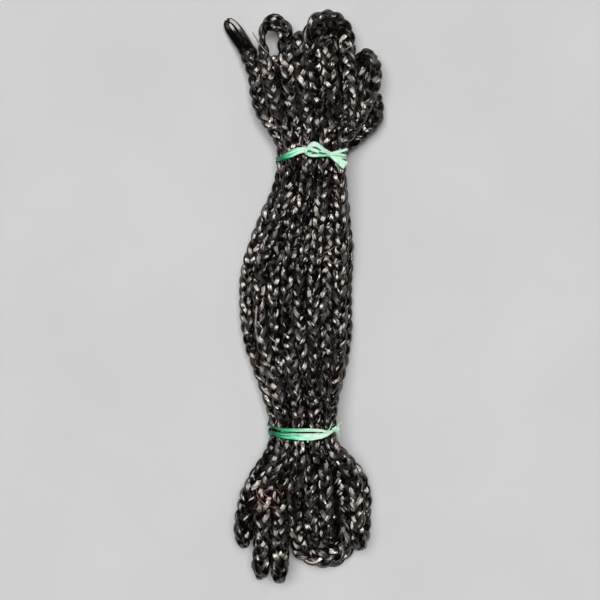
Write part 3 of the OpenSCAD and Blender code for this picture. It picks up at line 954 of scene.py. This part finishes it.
# Its tails, in mm, with heights above the wrap at TAILS_X
TAILS_X = 22.0
TAILS = [
    [(19.0, 97.5, 1.0, 2.4, 0), (22.9, 98.9, 1.4, 2.2, -15), (27.1, 99.9, 1.1, 2.0, 10),
     (31.2, 101.3, 0.6, 1.5, 20)],
    [(20.5, 97.7, 0.8, 1.8, 10), (24.6, 97.7, 1.0, 1.7, 20), (27.8, 97.1, 0.8, 1.6, 0),
     (29.8, 96.4, 0.5, 1.2, -10)],
    [(19.6, 96.9, 0.9, 2.4, 0), (22.9, 94.7, 1.2, 3.6, 8), (26.4, 92.2, 1.0, 5.0, 4),
     (29.8, 89.9, 0.6, 5.8, 0)],
]
tails_z = top_z(UPPER_TIE_Y, TAILS_X)
tails = strips(raised(TAILS, tails_z), FILM, ripple=0.2 * MM, pleats=2.2, seed_step=1.1)
add_ribbon("upper_tails", tails, "upper_tie_tails", upper_film)

THIN_STATIONS = [(-20.8, -88.1, 1.5), (-17.3, -89.5, 1.9), (-13.9, -90.2, 2.1), (-6.9, -90.6, 2.3),
                 (6.9, -90.6, 2.3), (13.9, -90.9, 2.0), (18.0, -92.0, 1.8), (20.8, -90.9, 1.5),
                 (24.3, -89.2, 1.4)]
WIDE_STATIONS = [(-19.4, -93.3, 2.8), (-13.9, -94.0, 4.0), (-6.9, -94.7, 4.6), (0.0, -95.2, 5.0),
                 (6.9, -95.3, 4.8), (13.9, -94.4, 3.8), (18.0, -93.0, 3.0), (20.8, -91.3, 2.4),
                 (24.3, -89.2, 2.0)]
THIN_GAP = SEAT_GAP + 0.6 * MM     # the thin turn lies over the wide one where they cross
thin_turn = wrap_rings(-LOWER_TIE_Y, THIN_STATIONS, THIN_GAP, ripple=0.14 * MM, pleats=1.2, seed=2)
wide_turn = wrap_rings(-LOWER_TIE_Y, WIDE_STATIONS, SEAT_GAP, ripple=0.2 * MM, pleats=2.2, seed=3)
add_ribbon("lower_wraps", [thin_turn, wide_turn], "lower_tie_wraps", lower_film, loop=True)


def low_top(x, more):
    """A height above the lower wraps at x, in mm."""
    return top_z(-LOWER_TIE_Y, x) + more


KNOB = [
    [(21.4, -90.9, low_top(21.4, 0.3), 1.6, 0), (23.0, -88.9, low_top(23, 1.6), 2.0, 30),
     (24.8, -89.6, low_top(23.5, 1.2), 2.0, -20), (23.6, -91.4, low_top(23, 0.8), 1.8, 20),
     (22.2, -90.2, low_top(22.2, 1.8), 1.6, 0)],
    [(20.6, -89.4, low_top(20.6, 0.6), 1.2, 0), (22.8, -90.4, low_top(22.8, 1.9), 1.8, -25),
     (24.8, -91.2, low_top(23.4, 0.8), 1.4, 30)],
]
knob = strips(KNOB, FILM, ripple=0.12 * MM, pleats=1.2, seed_step=0.9)
add_ribbon("lower_knot", knob, "lower_tie_knot", lower_film)

WISPS = [
    [(14.6, -92.8, low_top(14.6, 0.5), 0.9, 0), (18.7, -89.9, low_top(18.7, 0.9), 0.8, 10),
     (20.8, -85.0, low_top(20.8, 0.8), 0.5, 0)],
    [(23.6, -88.9, low_top(22.6, 1.2), 1.1, 0), (25.4, -86.6, low_top(23.0, 0.8), 0.9, 30),
     (27.6, -85.0, low_top(23.0, 0.2), 0.6, 0)],
    [(24.0, -91.0, low_top(22.8, 1.0), 1.0, 0), (25.4, -93.3, low_top(23.0, 0.3), 0.9, -20),
     (25.6, -96.1, low_top(23.2, -0.4), 0.6, 0)],
    [(4.3, -96.4, low_top(4.3, 0.4), 1.4, 0), (4.1, -97.6, low_top(4.3, 0.5), 1.2, 10),
     (3.8, -98.9, low_top(4.3, 0.2), 0.9, 0)],
]
wisps = strips(WISPS, 0.7 * FILM, ripple=0.08 * MM, pleats=1.0, seed_step=1.3)
add_ribbon("lower_wisps", wisps, "lower_tie_tails", lower_film)


# ---- loose fibres on the rope's top ----
rope_tree = BVHTree.FromPolygons([v.co for v in rope.data.vertices],
                                 [p.vertices for p in rope.data.polygons])
ABOVE_ALL = 0.1              # a height above everything, to look down from
FIBRE_SIDES = 6
FIBRE_TURN = 0.3             # radians, so that no flat side lies level
FIBRE_FLATNESS = 0.45
FIBRE_TAPER = 3              # rings over which its ends taper
FIBRE_BRIDGE = 7             # rings over which it bridges dips
FIBRE_LOWEST = 0.4 * MM
FIBRE_WAVE = 0.6             # how much it waves up and down, against its lift


def surface_z(x, y, default):
    hit = rope_tree.ray_cast(Vector((x, y, ABOVE_ALL)), Vector((0, 0, -1)))
    return hit[0].z if hit[0] else default


def fibre_rings(controls, width, lift, seed, count=28):
    """Rings of a fine flat fibre laid over the rope. Controls are (x, y) in metres."""
    flat = spline(controls, count)
    rng = np.random.default_rng(seed)
    z, last = [], 20 * MM
    for x, y in flat:
        last = surface_z(x, y, last)
        z.append(last)
    z = np.array(z)
    beside = FIBRE_BRIDGE // 2
    padded = np.concatenate([[z[0]] * beside, z, [z[-1]] * beside])
    z = np.maximum(z, np.convolve(padded, np.ones(FIBRE_BRIDGE) / FIBRE_BRIDGE, "valid"))
    wave = np.sin(np.linspace(0, 7, count) + rng.random() * 6)
    z = np.maximum(z + lift * (1 + FIBRE_WAVE * wave), FIBRE_LOWEST)
    points = np.stack([flat[:, 0], flat[:, 1], z], axis=-1)
    tangents = unit(np.gradient(points, axis=0))
    side = unit(np.cross(tangents, [0, 0, 1]))
    out = np.cross(side, tangents)
    angle = 2 * np.pi * np.arange(FIBRE_SIDES) / FIBRE_SIDES + FIBRE_TURN
    from_end = np.minimum(np.arange(count) + 0.4, count - 0.6 - np.arange(count))
    taper = np.sqrt(np.clip(from_end / FIBRE_TAPER, 0, 1))
    flat_sin = FIBRE_FLATNESS * np.sin(angle)
    section = np.cos(angle)[:, None] * side[:, None] + flat_sin[:, None] * out[:, None]
    return points[:, None] + width / 2 * taper[:, None, None] * section


def add_fibres(name, fibres, material):
    """One piece from several fibres."""
    parts = [part(rings, FIBRE_U, np.arange(len(rings)) * RING_V) for rings in fibres]
    piece = add_mesh(name, parts, material)
    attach(piece, "root")


def from_mm(points):
    return [(x * MM + SHIFT[0], y * MM + SHIFT[1]) for x, y in points]


STRAY_REACH = 175            # how far up and down the hank they lie, in mm
STRAY_HALF = ([0, 95 * MM, 175 * MM], [36, 20, 36])    # half the hank's width on the way, in mm
STRAY_UPPER = 60 * MM        # from here up the hank lies this much further right
STRAY_SHIFT = 6 * MM
STRAY_TURN = 0.55            # spread of their headings and bends, in radians
STRAY_BEND = 0.5
STRAY_JITTER = 0.12
STRAY_PIECES = 4
STRAY_LOWEST = 10 * MM       # none on the lowest strands or the floor
STRAY_LIFT = 0.25 * MM


def stray_fibres(count, seed):
    """Fine dark fibres strewn along the strands."""
    rng = np.random.default_rng(seed)
    found = []
    for n in range(count):
        y = rng.uniform(-STRAY_REACH, STRAY_REACH) * MM
        half = float(np.interp(abs(y), *STRAY_HALF)) * MM
        x = rng.uniform(-half, half) + (STRAY_SHIFT if y > STRAY_UPPER else 0)
        heading = math.pi / 2 + rng.normal(0, STRAY_TURN)
        length, bend = rng.uniform(7, 20) * MM, rng.normal(0, STRAY_BEND)
        points = [(x, y)]
        for _ in range(STRAY_PIECES):
            heading += bend / STRAY_PIECES + rng.normal(0, STRAY_JITTER)
            points.append((points[-1][0] + length / STRAY_PIECES * math.cos(heading),
                           points[-1][1] + length / STRAY_PIECES * math.sin(heading)))
        if min(surface_z(*point, 0) for point in points) < STRAY_LOWEST:
            continue
        found.append(fibre_rings(points, rng.uniform(0.3, 0.8) * MM, STRAY_LIFT, seed + n))
    return found


dark_fibre = fibre_material("dark_fibre", (0.02, 0.016, 0.014), (0.07, 0.06, 0.055))
add_fibres("stray_fibres", stray_fibres(90, 11), dark_fibre)

CURLS = [
    [(-30.5, -132.2), (-28.5, -138.5), (-23.6, -142.6), (-17.4, -145.4), (-14.6, -144.7)],
    [(-26.4, -132.9), (-23.6, -136.4), (-18.7, -138.5), (-14.6, -142.6)],
    [(-25.0, -133.6), (-20.8, -131.5), (-16.0, -132.9), (-13.2, -136.4)],
    [(-29.8, -139.2), (-26.4, -143.3), (-21.5, -147.5)],
]
curls = [fibre_rings(from_mm(curl), 0.6 * MM, 0.5 * MM, n, 44) for n, curl in enumerate(CURLS)]
brown_fibre = fibre_material("brown_fibre", (0.16, 0.055, 0.04), (0.40, 0.18, 0.13))
add_fibres("brown_curls", curls, brown_fibre)

# Pale fibres, each with its width in mm
PALE = [
    ([(-29.8, -5.2), (-30.5, -14.2), (-30.5, -22.6), (-28.5, -31.6)], 1.3),
    ([(12.5, 24.6), (17.3, 28.8), (22.2, 23.9), (28.5, 25.3)], 0.8),
    ([(13.9, 28.8), (20.8, 33.0), (25.0, 35.7)], 0.7),
    ([(-33.3, 184.3), (-29.1, 177.3), (-23.6, 170.4), (-17.3, 164.8), (-10.4, 154.4)], 0.8),
    ([(31.2, 171.8), (36.1, 174.5), (39.6, 176.6)], 0.7),
]
pale = [fibre_rings(from_mm(line), width * MM, 0.4 * MM, n, 36)
        for n, (line, width) in enumerate(PALE)]
pale_fibre = fibre_material("pale_fibre", (0.15, 0.11, 0.10), (0.42, 0.34, 0.32))
add_fibres("pale_fibres", pale, pale_fibre)


# ---- floor and light ----
FLOOR_HALF = 6
corners = [(x * FLOOR_HALF, y * FLOOR_HALF, 0) for x, y in ((-1, -1), (1, -1), (1, 1), (-1, 1))]
floor_mesh = bpy.data.meshes.new("floor")
floor_mesh.from_pydata(corners, [], [(0, 1, 2, 3)])
floor_mesh.materials.append(floor_material())
floor = bpy.data.objects.new("floor", floor_mesh)
bpy.context.scene.collection.objects.link(floor)


def add_sun(name, place, spread, power):
    """Soft even light from the direction of place; spread in degrees."""
    sun = bpy.data.lights.new(name, "SUN")
    sun.angle = math.radians(spread)
    sun.energy = power
    thing = bpy.data.objects.new(name, sun)
    thing.location = place
    thing.rotation_euler = (-Vector(place)).to_track_quat("-Z", "Y").to_euler()
    bpy.context.scene.collection.objects.link(thing)


WALL_TOP = (0.06, 0.26)      # heights between which the walls go over into the dark above
WALL_LIGHT = 0.36
OVERHEAD_LIGHT = 0.008


def studio_world():
    """Pale low down, like a studio's walls, and dark overhead behind the lamps."""
    world = bpy.data.worlds.new("studio")
    world.use_nodes = True
    nodes, links = world.node_tree.nodes, world.node_tree.links
    height = one_axis(nodes, links, coordinates(nodes, "Generated"), "Z")
    walls = map_range(nodes, links, height, *WALL_TOP, WALL_LIGHT, OVERHEAD_LIGHT)
    links.new(walls, nodes["Background"].inputs["Strength"])
    put(nodes["Background"], Color=(1, 1, 1, 1))
    bpy.context.scene.world = world


add_sun("key", (-0.14, 0.18, 1.2), 38, 2.27)
add_sun("spark", (0.12, 0.20, 1.2), 11, 0.50)
add_sun("rim_left", (-0.75, -0.4, 0.7), 20, 0.12)
add_sun("rim_right", (0.6, 0.6, 0.7), 20, 0.12)
studio_world()
bpy.context.scene.view_settings.view_transform = "Standard"
